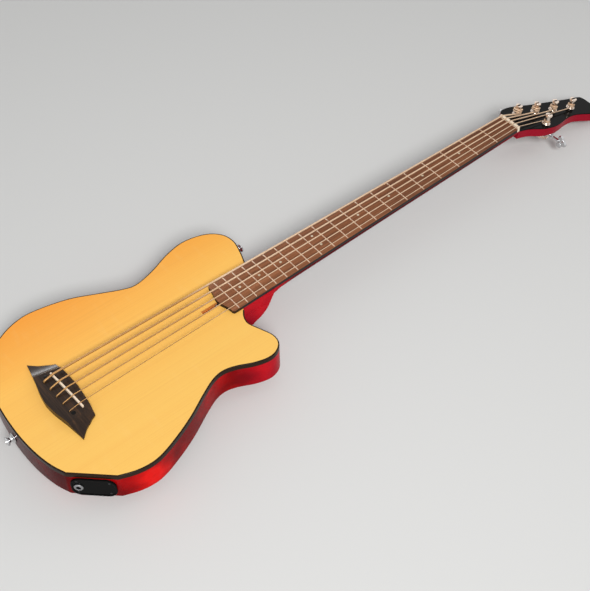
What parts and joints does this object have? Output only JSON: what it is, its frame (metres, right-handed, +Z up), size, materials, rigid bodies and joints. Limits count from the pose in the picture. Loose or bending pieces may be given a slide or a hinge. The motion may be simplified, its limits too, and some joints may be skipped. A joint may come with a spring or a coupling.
{
  "type": "acoustic bass guitar",
  "caption": "Acoustic-electric bass guitar with a cutaway body, closed top, angled head and open-gear tuners; turning a key winds its string through a worm gear.",
  "frame": {"origin": "on the flat back, on the centre line, under the middle of the saddle", "axes": "+Z up out of the top, +Y along the neck to the head, +X to the treble side with the cutaway"},
  "size_m": [0.3297, 1.1728, 0.0944],
  "materials": {
    "red_lacquer": "translucent red gloss lacquer over brown-red wood",
    "amber_top": "amber gloss lacquer over straight-grained spruce",
    "binding_black": "polished black binding",
    "bare_spruce": "bare spruce",
    "bare_maple": "bare maple",
    "bridge_rosewood": "oiled dark rosewood with a low sheen",
    "saddle_bone": "polished bone-like ivory",
    "hidden_steel": "plain steel",
    "board_rosewood": "satin rosewood with fine dark grain",
    "fret_nickel": "polished nickel silver",
    "string_bronze": "round-wound bronze",
    "head_black": "black gloss lacquer",
    "plate_black": "black gloss",
    "chrome": "bright chrome",
    "preamp_black": "moulded black",
    "battery_wrap": "plain dark wrap"
  },
  "bodies": {
    "guitar": {"body": "red_lacquer", "top": "amber_top", "binding": "binding_black", "top_braces": "bare_spruce", "bridge_plate": "bare_maple", "bridge": "bridge_rosewood", "saddle": "saddle_bone", "saddle_pickup": "hidden_steel", "neck": "red_lacquer", "fretboard": "board_rosewood", "nut": "saddle_bone", "truss_rod": "hidden_steel", "fret_1": "fret_nickel", "fret_2": "fret_nickel", "fret_3": "fret_nickel", "fret_4": "fret_nickel", "fret_5": "fret_nickel", "fret_6": "fret_nickel", "fret_7": "fret_nickel", "fret_8": "fret_nickel", "fret_9": "fret_nickel", "fret_10": "fret_nickel", "fret_11": "fret_nickel", "fret_12": "fret_nickel", "fret_13": "fret_nickel", "fret_14": "fret_nickel", "fret_15": "fret_nickel", "fret_16": "fret_nickel", "fret_17": "fret_nickel", "fret_18": "fret_nickel", "fret_19": "fret_nickel", "fret_20": "fret_nickel", "string_1": "string_bronze", "string_2": "string_bronze", "string_3": "string_bronze", "string_4": "string_bronze", "string_5": "string_bronze", "head_veneer": "head_black", "tuner_plate_1": "chrome", "tuner_plate_2": "chrome", "tuner_plate_3": "chrome", "tuner_plate_4": "chrome", "tuner_plate_5": "chrome", "jack_plate": "plate_black", "output_jack": "chrome", "preamp": "preamp_black", "battery": "battery_wrap", "strap_button_tail": "chrome", "strap_button_upper": "chrome"},
    "key_1": {"tuner_key_1": "chrome"},
    "post_1": {"tuner_post_1": "chrome"},
    "key_2": {"tuner_key_2": "chrome"},
    "post_2": {"tuner_post_2": "chrome"},
    "key_3": {"tuner_key_3": "chrome"},
    "post_3": {"tuner_post_3": "chrome"},
    "key_4": {"tuner_key_4": "chrome"},
    "post_4": {"tuner_post_4": "chrome"},
    "key_5": {"tuner_key_5": "chrome"},
    "post_5": {"tuner_post_5": "chrome"},
    "truss_nut": {"truss_nut": "hidden_steel"}
  },
  "joints": [
    {"name": "key_1_turn", "type": "hinge", "parent": "guitar", "child": "key_1", "pos_m": [-0.0195, 0.91531, 0.01728], "axis": [1, 0, 0], "continuous": true},
    {"name": "post_1_turn", "type": "hinge", "parent": "guitar", "child": "post_1", "pos_m": [-0.0195, 0.908, 0.04217], "axis": [0, 0.2588, 0.9659], "continuous": true},
    {"name": "key_2_turn", "type": "hinge", "parent": "guitar", "child": "key_2", "pos_m": [-0.011, 0.95347, 0.00705], "axis": [1, 0, 0], "continuous": true},
    {"name": "post_2_turn", "type": "hinge", "parent": "guitar", "child": "post_2", "pos_m": [-0.011, 0.94616, 0.03194], "axis": [0, 0.2588, 0.9659], "continuous": true},
    {"name": "key_3_turn", "type": "hinge", "parent": "guitar", "child": "key_3", "pos_m": [-0.0025, 0.99162, -0.00317], "axis": [1, 0, 0], "continuous": true},
    {"name": "post_3_turn", "type": "hinge", "parent": "guitar", "child": "post_3", "pos_m": [-0.0025, 0.98431, 0.02172], "axis": [0, 0.2588, 0.9659], "continuous": true},
    {"name": "key_4_turn", "type": "hinge", "parent": "guitar", "child": "key_4", "pos_m": [0.006, 1.02978, -0.01339], "axis": [1, 0, 0], "continuous": true},
    {"name": "post_4_turn", "type": "hinge", "parent": "guitar", "child": "post_4", "pos_m": [0.006, 1.02247, 0.0115], "axis": [0, 0.2588, 0.9659], "continuous": true},
    {"name": "key_5_turn", "type": "hinge", "parent": "guitar", "child": "key_5", "pos_m": [0.024, 0.94381, 0.00964], "axis": [1, 0, 0], "continuous": true},
    {"name": "post_5_turn", "type": "hinge", "parent": "guitar", "child": "post_5", "pos_m": [0.024, 0.9365, 0.03453], "axis": [0, 0.2588, 0.9659], "continuous": true},
    {"name": "truss_nut_turn", "type": "hinge", "parent": "guitar", "child": "truss_nut", "pos_m": [0, 0.26, 0.0475], "axis": [0, 1, 0], "range_deg": [-180, 180]}
  ],
  "couplings": [
    {"joint": "post_1_turn", "follows": "key_1_turn", "ratio": 0.05},
    {"joint": "post_2_turn", "follows": "key_2_turn", "ratio": 0.05},
    {"joint": "post_3_turn", "follows": "key_3_turn", "ratio": 0.05},
    {"joint": "post_4_turn", "follows": "key_4_turn", "ratio": 0.05},
    {"joint": "post_5_turn", "follows": "key_5_turn", "ratio": 0.05}
  ]
}
